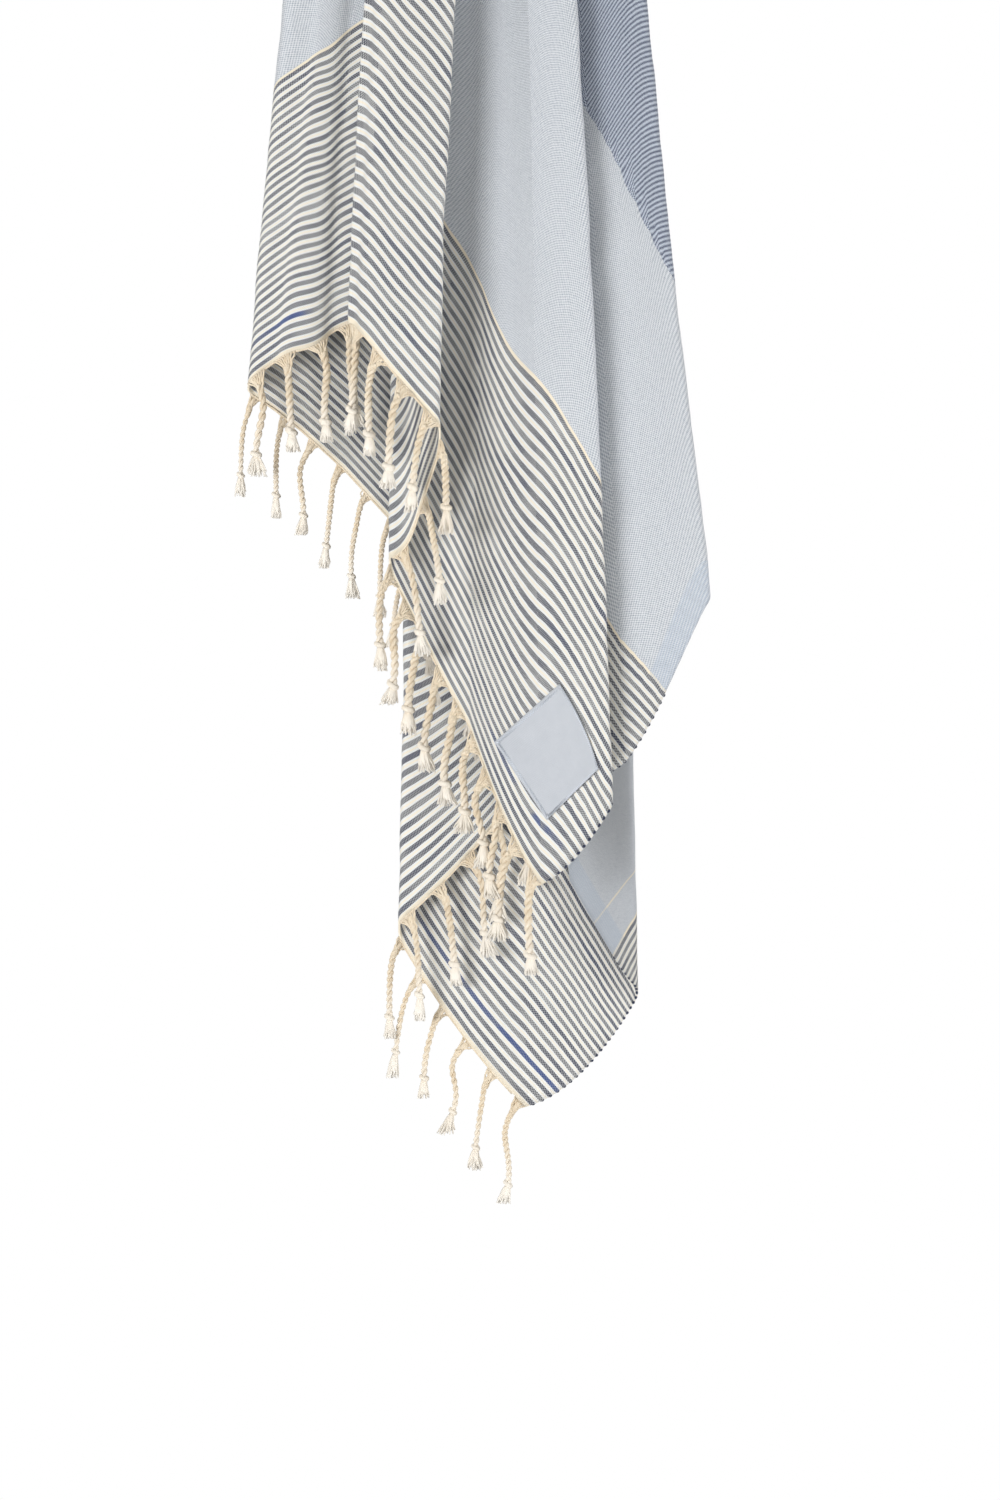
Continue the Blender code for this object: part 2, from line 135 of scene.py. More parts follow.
def runLength(*coordinates):
    # the length of a polyline up to each of its points
    steps = np.sqrt(sum(np.diff(values) ** 2 for values in coordinates))
    return np.concatenate([[0.0], np.cumsum(steps)])


def heightCurve(values, slopes, control, z):
    # a cubic from level to level, with the mean slope of its neighbours at each level, going on straight below
    z = np.clip(z, levels[-1] - cloth.lowestReach, levels[0])
    level = np.clip(np.searchsorted(-levels, -z, side="right") - 1, 0, len(levels) - 2)
    span = levels[level + 1] - levels[level]
    t = np.clip((z - levels[level]) / span, 0.0, 1.0)
    start, end = values[control, level], values[control, level + 1]
    curve = start + t * t * (3 - 2 * t) * (end - start)
    startSlope, endSlope = slopes[control, level], slopes[control, level + 1]
    curve = curve + span * (t * (1 - t) ** 2 * startSlope - t * t * (1 - t) * endSlope)
    return curve + np.minimum(z - levels[-1], 0.0) * slopes[control, -1]


def foldValues(name):
    return np.array([getattr(fold, name) for fold in folds], float)


def crownDepth(layer):
    return -(cloth.innerRadius + cloth.layerPitch * (cloth.innermost - layer))


class Half:
    # the front or the back half: sections through its folds, its lower edge and its pattern lines

    def __init__(self, name):
        self.name = name
        xs, ys, self.kinds, self.places = [], [], [], []
        for fold in folds:
            x = np.array(fold.x, float)
            first, last = (crownDepth(layer) for layer in fold.layers)
            y = np.array(((first + last) / 2, *fold.y))
            opening = np.array((abs(last - first), *fold.opening), float)
            if name == "back":
                x = x * back.width + back.shift
                y = np.array(back.first) + np.array(back.depth) * (np.array(back.frontLast) - y)
                opening = -opening * back.depth
            if fold.turn == 0:
                self.places.append(len(xs) + 0.5)
                xs.append(x)
                ys.append(y)
                self.kinds.append("end" if "edge" in fold.name else "pass")
                continue
            # a turned fold has two points at its tip, and two that lead to it a little way in
            side = 1 if fold.layers[1] > fold.layers[0] else -1
            lead = fold.turn * np.abs(opening)
            self.places.append(len(xs) + 2.0)
            xs += [x - lead, x, x, x - lead]
            ys += [y - side * opening / 2] * 2 + [y + side * opening / 2] * 2
            self.kinds += ["lead", "tip", "tip", "lead"]
        self.x, self.y = np.array(xs), np.array(ys)
        self.slopes = [np.gradient(values, levels, axis=1) for values in (self.x, self.y)]
        self.places[0], self.places[-1] = 0.0, float(len(xs))
        self.places = np.array(self.places)
        self.setLines()
        self.samples = np.linspace(self.places[:-1], self.places[1:], cloth.panelSamples, axis=1)
        self.smooth = [index for index, fold in enumerate(folds)
                       if fold.turn == 0 and not fold.name.startswith(("edge", "corner"))]
        middles = (self.hems[:-1] + self.hems[1:]) / 2
        self.lengths = np.array([self.across(s, z) for s, z in zip(self.samples, middles)])

    def setLines(self):
        # the pattern keeps its distance from the hem on both halves
        self.hems = foldValues("hem" if self.name == "front" else "backHem")
        self.bows = foldValues("bow") * (self.name == "front")
        self.arches = foldValues("arch")
        rise = self.hems - foldValues("hem")
        self.zero, self.cream, self.denim = (foldValues(line) + rise for line in ("zero", "cream", "denim"))
        self.denim = np.minimum(self.denim, crownSpring - cloth.denimBelowCrown)
        self.cream = np.minimum(self.cream, self.denim - cloth.leastPale)

    def placeOf(self, name):
        return self.places[foldNames.index(name)]

    def across(self, s, z):
        x, y = self.section(s, np.full(s.shape, z))
        return runLength(x, y)

    def section(self, s, z):
        # x and y at the place s along the section and the height z: a quadratic B-spline, which weighs the points
        # before, at and after s by (1 - t) squared / 2, 1/2 + t (1 - t) and t squared / 2
        s, z = np.broadcast_arrays(np.asarray(s, float), np.asarray(z, float))
        last = len(self.x) - 1
        index = np.clip(np.floor(s).astype(int), 0, last)
        t = s - index
        result = []
        for values, slopes in zip((self.x, self.y), self.slopes):
            total = np.zeros(s.shape)
            for offset, weight in ((-1, (1 - t) ** 2 / 2), (0, 0.5 + t * (1 - t)), (1, t * t / 2)):
                total += weight * heightCurve(values, slopes, np.clip(index + offset, 0, last), z)
            result.append(total)
        return result

    def panelShare(self, s):
        # the panel of each place, the share of its width up to the place, and its width
        s = np.asarray(s, float)
        panel = np.clip(np.searchsorted(self.places, s, side="right") - 1, 0, len(folds) - 2)
        length = np.array([np.interp(place, self.samples[p], self.lengths[p]) for place, p in zip(s, panel)])
        return panel, length / self.lengths[panel, -1], self.lengths[panel, -1]

    def line(self, heights, s, bows=0.0):
        # a line across the cloth: straight on the flat between turned folds, a cubic through the others, and
        # below that a parabola as deep as the bow
        panel, share, _ = self.panelShare(s)
        widths = self.lengths[:, -1]
        steep = np.diff(heights) / widths
        start, end = steep.copy(), steep.copy()
        for index in self.smooth:
            shared = np.average(steep[index - 1:index + 1], weights=widths[[index, index - 1]])
            end[index - 1] = start[index] = shared
        rise = steep[panel] * share * widths[panel]
        rise = rise + widths[panel] * (share * (1 - share) ** 2 * (start - steep)[panel]
                                       - share ** 2 * (1 - share) * (end - steep)[panel])
        return heights[panel] + rise - 4 * share * (1 - share) * bows

    def edge(self, s):
        return self.line(self.hems, s, self.bows[self.panelShare(s)[0]])

    def patternLines(self, s):
        # the heights where the stripes start, the cream line runs and the denim starts
        arch = -self.arches[self.panelShare(s)[0]]
        return [self.line(heights, s, arch) for heights in (self.zero, self.cream, self.denim)]

    def hemPoints(self, places):
        z = self.edge(places.reshape(-1)).reshape(places.shape)
        x, y = self.section(places, z)
        return np.stack([x, y, z], axis=-1)

    def columns(self):
        places = [0.0]
        for index, kind in enumerate(self.kinds):
            steps = cloth.steps[kind]
            places += [index + (step + 1) / steps for step in range(steps)]
        return np.array(places)


def withShoulders(points):
    # the ends of the crown sink by the square of their reach, and the sinking fades out smoothly below it
    high, low = cloth.shoulderFade
    fade = np.clip((points[..., 2] - low) / (high - low), 0.0, 1.0)
    fade = fade * fade * (3 - 2 * fade)
    points = points.copy()
    reach = np.minimum(np.abs(points[..., 0]) / cloth.shoulderReach, 1.0)
    points[..., 2] -= cloth.shoulderDrop * fade * reach ** 2
    return points


def ripple(u, v, seed, size, waves=9):
    # smooth noise: a sum of sine waves in random directions, from size down to a third of it
    rng = np.random.default_rng(seed)
    total = np.zeros(np.broadcast(u, v).shape)
    for wave in range(waves):
        angle, phase = rng.uniform(0, np.pi), rng.uniform(0, 2 * np.pi)
        length = size * rng.uniform(0.33, 1.0)
        total += np.sin(2 * np.pi * (u * np.cos(angle) + v * np.sin(angle)) / length + phase) / np.sqrt(waves)
    return total


def gridNormals(grid):
    # unit cross products of the grid's two directions
    return unit(np.cross(np.gradient(grid, axis=1), np.gradient(grid, axis=0)))


def faceCorners(grid):
    # what the four corners of each face have, in order round it
    return np.stack([grid[:-1, :-1], grid[:-1, 1:], grid[1:, 1:], grid[1:, :-1]], axis=-1)


def shell(grid, thickness):
    # a sheet about a grid: each point goes half the thickness both ways along its normal, and walls close it
    normals = gridNormals(grid)
    rows, columns = grid.shape[:2]
    index = np.arange(rows * columns).reshape(rows, columns)
    quads = faceCorners(index).reshape(-1, 4)
    rim = np.concatenate([index[0, :], index[1:, -1], index[-1, -2::-1], index[-2:0:-1, 0]])
    following = np.roll(rim, -1)
    below = rows * columns
    walls = np.stack([following, rim, rim + below, following + below], axis=-1)
    faces = np.concatenate([quads, quads[:, [0, 3, 2, 1]] + below, walls])
    points = np.concatenate([(grid + normals * thickness / 2).reshape(-1, 3),
                             (grid - normals * thickness / 2).reshape(-1, 3)])
    return points, faces


def addObject(name, data):
    made = bpy.data.objects.new(name, data)
    bpy.context.scene.collection.objects.link(made)
    return made


def addMesh(name, points, faces, material):
    mesh = bpy.data.meshes.new(name)
    mesh.from_pydata((np.asarray(points) * mm).tolist(), [], np.asarray(faces).tolist())
    mesh.materials.append(material)
    return addObject(name, mesh)


def addPiece(name, points, faces, material, node=None, uvs=None, values=None):
    # a smooth piece of the towel, with its weave's UV map and the values that its points carry
    piece = addMesh(name, points, faces, material)
    mesh = piece.data
    mesh.shade_smooth()
    if uvs is not None:
        layer = mesh.uv_layers.new(name="weave")
        layer.uv.foreach_set("vector", np.asarray(uvs, np.float32).reshape(-1))
    for valueName, data in (values or {}).items():
        attribute = mesh.attributes.new(valueName, "FLOAT", "POINT")
        attribute.data.foreach_set("value", np.asarray(data, np.float32).reshape(-1))
    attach(piece, "root")
    if node:
        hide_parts(node)
    return piece


def operator(operation, turned=False):
    return lambda value, other: value.maths(operation, other, turned)


class Value:
    # a socket with the operators of arithmetic

    def __init__(self, tree, socket):
        self.tree, self.socket = tree, socket

    def feed(self, socket, value):
        # links a value to a socket, or sets the socket to a plain number or vector
        if isinstance(value, Value):
            self.tree.links.new(value.socket, socket)
        else:
            socket.default_value = value

    def node(self, kind, settings=None, output=0, **sockets):
        # a socket's keyword is its name, or _ and its number
        made = self.tree.nodes.new("ShaderNode" + kind)
        for name, value in (settings or {}).items():
            setattr(made, name, value)
        for name, value in sockets.items():
            self.feed(made.inputs[int(name[1:]) if name[0] == "_" else name], value)
        return Value(self.tree, made.outputs[output])

    def maths(self, operation, other=0.0, turned=False):
        first, second = (other, self) if turned else (self, other)
        return self.node("Math", {"operation": operation}, _0=first, _1=second)

    __add__ = __radd__ = operator("ADD")
    __sub__, __rsub__ = operator("SUBTRACT"), operator("SUBTRACT", turned=True)
    __mul__ = __rmul__ = operator("MULTIPLY")
    __truediv__, __mod__ = operator("DIVIDE"), operator("FLOORED_MODULO")
    __gt__, __lt__ = operator("GREATER_THAN"), operator("LESS_THAN")

    def near(self, middle, reach):
        return (self - middle).maths("ABSOLUTE") < reach

    def floor(self):
        return self.maths("FLOOR")

    def sine(self):
        return self.maths("SINE")

    def clamped(self):
        return self.maths("MINIMUM", 1.0).maths("MAXIMUM", 0.0)

    def noise(self, scale, detail):
        return self.node("TexNoise", _0=self, Scale=scale, Detail=detail)

    def mix(self, first, second):
        # self is the factor from the first colour to the second
        made = self.node("Mix", {"data_type": "RGBA"}, output=2, _0=self)
        for index, colour in ((6, first), (7, second)):
            self.feed(made.socket.node.inputs[index], colour if isinstance(colour, Value) else (*colour, 1.0))
        return made


def startMaterial(name):
    material = bpy.data.materials.new(name)
    material.use_nodes = True
    shader = material.node_tree.nodes["Principled BSDF"]
    return material, shader, Value(material.node_tree, None)


def tone(red, green, blue):
    # a colour from its three display values, 0 to 255
    shares = np.array([red, green, blue]) / 255.0
    return tuple(np.where(shares <= 0.04045, shares / 12.92, ((shares + 0.055) / 1.055) ** 2.4))


def finishMaterial(shader, words, colour, roughness, height, depth):
    # depth is the bump's, in metres
    words.feed(shader.inputs["Base Color"], colour)
    words.feed(shader.inputs["Roughness"], roughness)
    bump = words.node("Bump", Height=height, Distance=depth, Strength=1.0)
    words.feed(shader.inputs["Normal"], bump)


def weavePlace(words):
    # the UV map, in millimetres: u runs along the weft, and v up the warp
    place = words.node("UVMap", {"uv_map": "weave"})
    u, v = (words.node("SeparateXYZ", output=axis, _0=place) for axis in (0, 1))
    return place, u, v


def pointValue(words, name):
    return words.node("Attribute", {"attribute_name": name}, output=2)


def plainYarn(name, scale, dark, light, roughness, depth):
    # fine noise from one tone to another
    material, shader, words = startMaterial(name)
    fine = words.node("TexCoord", output=3).noise(scale, 1.0)
    finishMaterial(shader, words, fine.mix(dark, light), roughness, fine, depth)
    return material


weave = Numbers(
    warpCell=0.72,
    rows=6.0,  # of weft in each stripe
    lightRows=3,
    hemMargin=2.6,
    blueStripe=3,
    dyedFolds={"edgeLeft": 1.0, "rightLow": 1.0, "cornerLow": 0.8, "shoulder": 0.9, "brow": 0.7, "dent": 0.2,
               "cornerHigh": 0.8},
    creamLine=2.0,
    loosePick=221.0, loosePickHalf=0.6, loosePickDyed=0.93,
    selvedgeWidth=14.0, selvedgeLine=1.6,
    spunStretch=0.018, spunChange=0.8,
    darkCover=(0.51, 0.42),  # of a dark weft under a warp, and what it gains over one
    twillDot=(2.1, 1.25), denimDot=(2.3, 1.45),
    white=tone(231, 232, 231), cream=tone(240, 230, 210),
    navy=tone(22, 27, 46), blue=tone(20, 58, 122),
    pale=tone(222, 225, 229), paleShade=tone(150, 159, 172),
    denim=tone(208, 216, 229), denimShade=tone(44, 58, 92),
    selvedge=tone(176, 190, 208),
    roughness=0.88, bump=0.00022,
)
weftCell = stripePitch / weave.rows


def dots(u, v, size):
    # a plain weave seen close: dark dots between the warps, each row half a pitch over from the last
    pitch, row = size
    rows = (v / row).floor()
    place = (u / pitch + rows * 0.5) % 1.0
    return (((place - 0.5).maths("ABSOLUTE") * -2.0 + 1.0) * 1.9 - 0.55).clamped()


def stripedWeave(words, u, v, striped):
    # rows of light weft with a cream middle, then rows of dark weft that shows most where it goes over a warp
    weft = (v / weftCell).floor()
    over = ((u / weave.warpCell).floor() + weft) % 2.0
    row = weft % weave.rows
    stripe = (v / stripePitch).floor()
    # the weft yarn changes a little along its length and from stripe to stripe
    spun = words.node("CombineXYZ", _0=u * weave.spunStretch, _1=stripe * 2.7).noise(1.0, 3.0)
    change = (spun - 0.5) * weave.spunChange
    blueYarn = stripe.near(weave.blueStripe, 0.5) * pointValue(words, "dyed")
    blueYarn = blueYarn * ((spun - 0.42) * 12.0).clamped()
    dark = (row > weave.lightRows - 0.5) * striped
    under, gain = weave.darkCover
    covered = (over * gain + under + blueYarn * 0.3 + change).clamped()
    navy = (blueYarn * 1.2 + change + 0.05).clamped().mix(weave.navy, weave.blue)
    creamed = (row.near(1.0, 0.5) * 0.75 + (v < weave.hemMargin)).clamped()
    return (dark * covered).mix(creamed.mix(weave.white, weave.cream), navy), dark


def fieldWeave(words, u, v, striped, grain):
    # pale twill above the cream line and denim above that, with a loose pick, and close lines by a long edge
    slub = words.node("CombineXYZ", _0=u * 0.55, _1=v * 0.3).noise(1.0, 1.0) - 0.5
    twill = dots(u, v, weave.twillDot) * (grain * 0.9 + 0.35) + slub * 0.5
    denim = dots(u, v, weave.denimDot) * (grain * 0.6 + 0.76) + slub * 0.6
    deep = v > cloth.stripeZone + cloth.paleZone
    field = deep.mix(twill.clamped().mix(weave.pale, weave.paleShade),
                     denim.clamped().mix(weave.denim, weave.denimShade))
    line = v < cloth.stripeZone + weave.creamLine
    loosePick = v.near(weave.loosePick, weave.loosePickHalf)
    loosePick = loosePick * (pointValue(words, "dyed") > weave.loosePickDyed) * 0.7
    field = (line + loosePick).clamped().mix(field, weave.cream)
    edge = pointValue(words, "selvedge")
    nearEdge = (edge < weave.selvedgeWidth) * (1 - striped) * (1 - deep)
    lines = ((edge / weave.selvedgeLine) % 1.0 > 0.5) * 0.30 + 0.20
    return (nearEdge * lines).mix(field, weave.selvedge), line


def wovenCotton():
    material, shader, words = startMaterial("wovenCotton")
    place, u, v = weavePlace(words)
    grain = place.noise(1.1, 2.0)
    striped = v < cloth.stripeZone
    stripes, dark = stripedWeave(words, u, v, striped)
    field, line = fieldWeave(words, u, v, striped, grain)
    threads = (u * (np.pi / weave.warpCell)).sine() * (v * (np.pi / weftCell)).sine()
    height = threads * 0.5 + (grain - 0.5) * 0.8 + dark * 0.35 + line * (1 - striped) * 0.8
    finishMaterial(shader, words, striped.mix(field, stripes), weave.roughness, height, weave.bump)
    shader.inputs["Sheen Weight"].default_value = 0.2
    shader.inputs["Sheen Roughness"].default_value = 0.5
    return material


relief = Numbers(
    creases=((0.45, 0.6, 3, 90.0), (0.12, 0.8, 5, 30.0)),  # depth, stretch, seed and size
    calmHeight=(30.0, 60.0),  # from the crown, where the creases start and how soon they are full
    pull=(0.3, 0.7),  # of the stripes everywhere, and more at the dent
    pullSize=64.0,
    farFromEdge=500.0,
    widthRow=40,  # the row that is measured along the width
)


def halfGrid(half, s, count):
    # rows from the half's lower edge up to the crown, with the pattern's v and the distance from a long edge
    low = half.edge(s)
    z = low + (crownSpring - low) * np.linspace(0.0, 1.0, count + 1)[:, None]
    x, y = half.section(s[None, :], z)
    zero, cream, denim = half.patternLines(s)
    # beyond a corner the lower edge is a long edge of the towel
    beyond = (s < half.placeOf("cornerLow")) | (s > half.placeOf("cornerHigh"))
    zero = np.where(beyond, zero, low)
    v = np.where(z < cream, (z - zero) / (cream - zero) * cloth.stripeZone,
                 cloth.stripeZone + (z - cream) / (denim - cream) * cloth.paleZone)
    v = np.where(z > denim, cloth.stripeZone + cloth.paleZone + z - denim, v)
    run = np.concatenate([[0.0], np.cumsum(np.hypot(np.diff(x[0]), np.diff(y[0])) + 1e-6)])
    slope = np.gradient(low, run)
    edge = np.where(beyond, (z - low) / np.sqrt(1 + slope ** 2), relief.farFromEdge)
    return np.stack([x, y, z], axis=-1), v, edge


def sheetGrid(front, rear):
    # rows from the front edge to the back edge, in half circles of the layers' own radii over the crown
    s = front.columns()
    frontGrid, frontV, frontEdge = halfGrid(front, s, cloth.frontRows)
    rearGrid, rearV, rearEdge = halfGrid(rear, s, cloth.backRows)
    spring = frontGrid[-1]
    radius = -spring[:, 1]
    angle = np.pi * np.arange(1, cloth.crownRows)[:, None] / cloth.crownRows
    turned = np.stack([np.broadcast_to(spring[:, 0], angle.shape[:1] + radius.shape), -radius * np.cos(angle),
                       crownSpring + radius * np.sin(angle)], axis=-1)
    crownV = frontV[-1] + radius * angle
    grid = np.concatenate([frontGrid, turned, rearGrid[::-1]])
    v = np.concatenate([frontV, crownV, rearV[::-1]])
    edge = np.concatenate([frontEdge, np.full(crownV.shape, relief.farFromEdge), rearEdge[::-1]])
    return s, withShoulders(grid), v, edge


def panelU(half, s, v):
    # the weft's own coordinate: along the hem, sheared so that it crosses the stripes squarely in each panel
    panel, share, width = half.panelShare(s)
    drop = half.zero[panel + 1] - half.zero[panel]
    run = np.sqrt(width ** 2 + drop ** 2)
    lengths = np.hypot(half.lengths[:, -1], np.diff(half.zero))
    starts = np.concatenate([[0.0], np.cumsum(lengths)])[:-1]
    return starts[panel] + share * run + v * drop / width


def weaveUvs(halves, s, v, faces):
    # u and v at each corner of the faces: each panel has its own u, taken just inside the face's panel
    rows, columns = v.shape
    frontRows = cloth.frontRows + cloth.crownRows // 2
    cornerU = np.empty((rows - 1, columns - 1, 4))
    for half, first, last in zip(halves, (0, frontRows), (frontRows, rows - 1)):
        for corner, (step, side) in enumerate(((0, 0), (0, 1), (1, 1), (1, 0))):
            places = s[side:columns - 1 + side] + (1e-6 - 2e-6 * side)
            heights = v[first + step:last + step, side:columns - 1 + side]
            cornerU[first:last, :, corner] = panelU(half, places, heights)
    outer = np.stack([cornerU, faceCorners(v)], -1).reshape(-1, 4, 2)
    pointU = np.concatenate([cornerU[:, :, 0], cornerU[:, -1:, 1]], axis=1)
    pointU = np.concatenate([pointU, pointU[-1:]])
    pointUv = np.tile(np.stack([pointU, v], -1).reshape(-1, 2), (2, 1))
    return np.concatenate([outer, outer[:, [0, 3, 2, 1]], pointUv[faces[len(outer) * 2:]]])


def makeCloth(front, rear, material):
    # the folded sheet, moved along its normals by soft creases, with the stripes pulled a little up and down
    s, grid, v, edge = sheetGrid(front, rear)
    along = runLength(*grid[relief.widthRow, :, :2].T)[None, :] * np.ones(v.shape)
    height = grid[..., 2]
    creases = sum(depth * ripple(along, height * stretch, seed, size)
                  for depth, stretch, seed, size in relief.creases)
    start, reach = relief.calmHeight
    calm = np.clip((-height - start) / reach, 0.0, 1.0)
    grid = grid + gridNormals(grid) * (creases * calm)[..., None]
    nearDent = np.exp(-((s - front.placeOf("dent")) / 2.0) ** 2)
    least, more = relief.pull
    pull = (least + more * nearDent) * ripple(along, height, 7, relief.pullSize)
    v = v + pull * np.clip(v / 30.0, 0.0, 1.0)
    # where one stripe's yarn was dyed a brighter blue: on the left fold, and near the two low corners
    dyed = np.interp(s, front.places, [weave.dyedFolds.get(name, 0.0) for name in foldNames])
    dyed = np.broadcast_to(dyed, v.shape)
    points, faces = shell(grid, cloth.thickness)
    values = {"selvedge": np.tile(edge.reshape(-1), 2), "dyed": np.tile(dyed.reshape(-1), 2)}
    uvs = weaveUvs((front, rear), s, v, faces)
    return addPiece("towelCloth", points, faces, material, "cloth", uvs, values)


def loft(centres, acrossAxes, depthAxes, sides):
    # capped tubes: centres and half axes as arrays of tubes by rings by 3, and a point of ring r and side k is
    # centre + cos(angle) * across axis + sin(angle) * depth axis, with the angle going round in sides steps
    count, rings = centres.shape[:2]
    angle = 2 * np.pi * np.arange(sides) / sides
    points = centres[:, :, None, :] + np.cos(angle)[:, None] * acrossAxes[:, :, None, :]
    points = points + np.sin(angle)[:, None] * depthAxes[:, :, None, :]
    index = np.arange(count * rings * sides).reshape(count, rings, sides)
    turned = np.roll(index, -1, axis=2)
    walls = np.stack([index[:, :-1], turned[:, :-1], turned[:, 1:], index[:, 1:]], axis=-1).reshape(-1, 4)
    # the caps are fans of quads about a corner; an odd one leaves out a triangle, hidden in other yarn
    caps = [index[:, 0, ::-1].reshape(-1, sides), index[:, -1].reshape(-1, sides)]
    fans = [cap[:, [0, k, k + 1, k + 2]] for cap in caps for k in range(1, sides - 2, 2)]
    return points.reshape(-1, 3), np.concatenate([walls, *fans])


def pathFrames(paths):
    # two unit axes square to each path, by cross products with a slanting direction
    tangent = unit(np.gradient(paths, axis=1))
    first = unit(np.cross(tangent, np.array([0.31, 0.93, 0.12])))
    return first, np.cross(tangent, first)


def onCircle(angle, axes):
    # a point of the unit circle: cos(angle) times the first axis and sin(angle) times the second
    return np.cos(angle)[..., None] * axes[0] + np.sin(angle)[..., None] * axes[1]


def tubes(paths, radii, sides):
    # round tubes along paths, with a radius for each ring
    first, second = pathFrames(paths)
    radii = np.broadcast_to(radii, paths.shape[:2])[..., None]
    return loft(paths, first * radii, second * radii, sides)


fringe = Numbers(
    spacing=23.5,  # along the hem, and closer where the hem is steep
    sideways=7.8,  # the least distance across
    rootWidth=5.0, foldClearance=12.0,
    hemSamples=400, hemInset=0.6,
    length=72.0,
    lengthShare=(0.90, 1.03), fullness=(0.92, 1.08),
    lean=0.06, outwardLean=(0.01, 0.02), sway=1.7, swayTurns=(1.0, 2.4),
    driftDepth=60.0, driftShare=0.9,
    pathPoints=56,
    hemYarn=0.85, hemDrop=0.35,
    shade=tone(214, 194, 164), light=tone(246, 236, 217),
    # the tip's whiter tone is partly painted light, lifting the shade on the loose strands
    tip=tone(250, 246, 239),
)
fan = Numbers(
    width=8.2, drop=12.0, fall=1.15,
    warps=9, rings=7,
    narrowing=2.1, gathering=0.8, gatheredWidth=2.0,
    web=(0.1, 0.75, 0.6),  # share of the fan's width: at the hem, what it gains, and how late it gains it
    webDepth=(0.3, 1.4),
    warpRadius=(0.70, 0.85), warpLift=0.6, looseness=0.4,
)
cord = Numbers(
    start=0.6,  # share of the fan's drop
    radius=1.3, plyRadius=1.42, twistPitch=10.5,
    pitchShare=(0.85, 1.2),
    swelling=0.06, swellLength=5.0, rings=62,
)
knot = Numbers(
    turns=2.7, slant=(0.8, 1.7), slantTurns=0.96,
    halfHeight=0.5,
    radius=2.5, yarnRadius=1.85, rings=20,
)
brush = Numbers(
    length=(13.0, 18.0), start=1.2,
    width=6.4, widthShare=(0.55, 1.1),
    strandPlace=(0.02, 1.0), strandLength=(0.70, 1.03), strandRadius=(0.95, 0.42),
    fray=(0.7, 1.5), curl=0.6, curlTurns=(2, 7), flatness=0.7,
    strands=54, rings=6,
    coreLength=0.72, coreRadius=(1.8, 2.0), coreRings=5,
)
Panel = namedtuple("Panel", "node first last fullness")
panels = (
    Panel("low", "cornerLow", "leftLow", 0.78),
    Panel("inner", "leftLow", "rightMid", 0.90),
    Panel("behind", "rightMid", "leftWide", 0.72),
    Panel("front_left", "leftWide", "crease", 1.0),
    Panel("front_right", "lap", "rightFront", 1.0),
    Panel("turned", "rightFront", "leftMid", 0.9),
    Panel("main", "leftMid", "cornerHigh", 1.0),
)


def tasselPlaces(half, panel):
    # places along the hem of the middle of each tassel, as in the CAD, and of the warps of its fan
    s = np.linspace(half.placeOf(panel.first), half.placeOf(panel.last), fringe.hemSamples)
    x, y, z = half.hemPoints(s).T
    length = runLength(x, y, z)
    passed = np.minimum(np.diff(length) / fringe.spacing, np.abs(np.diff(x)) / fringe.sideways)
    passed = np.concatenate([[0.0], np.cumsum(passed)])
    margins = [fringe.rootWidth if "corner" in name else fringe.foldClearance
               for name in (panel.first, panel.last)]
    start, end = np.interp([margins[0], length[-1] - margins[1]], length, passed)
    count = max(1, int(end - start))
    centres = np.interp(np.linspace(start, end, count + 1), passed, length)
    across = np.linspace(-1, 1, fan.warps) * fan.width * panel.fullness ** 2
    warps = np.clip(centres[:, None] + across, fringe.hemInset, length[-1] - fringe.hemInset)
    return np.interp(centres, length, s), np.interp(warps, length, s)


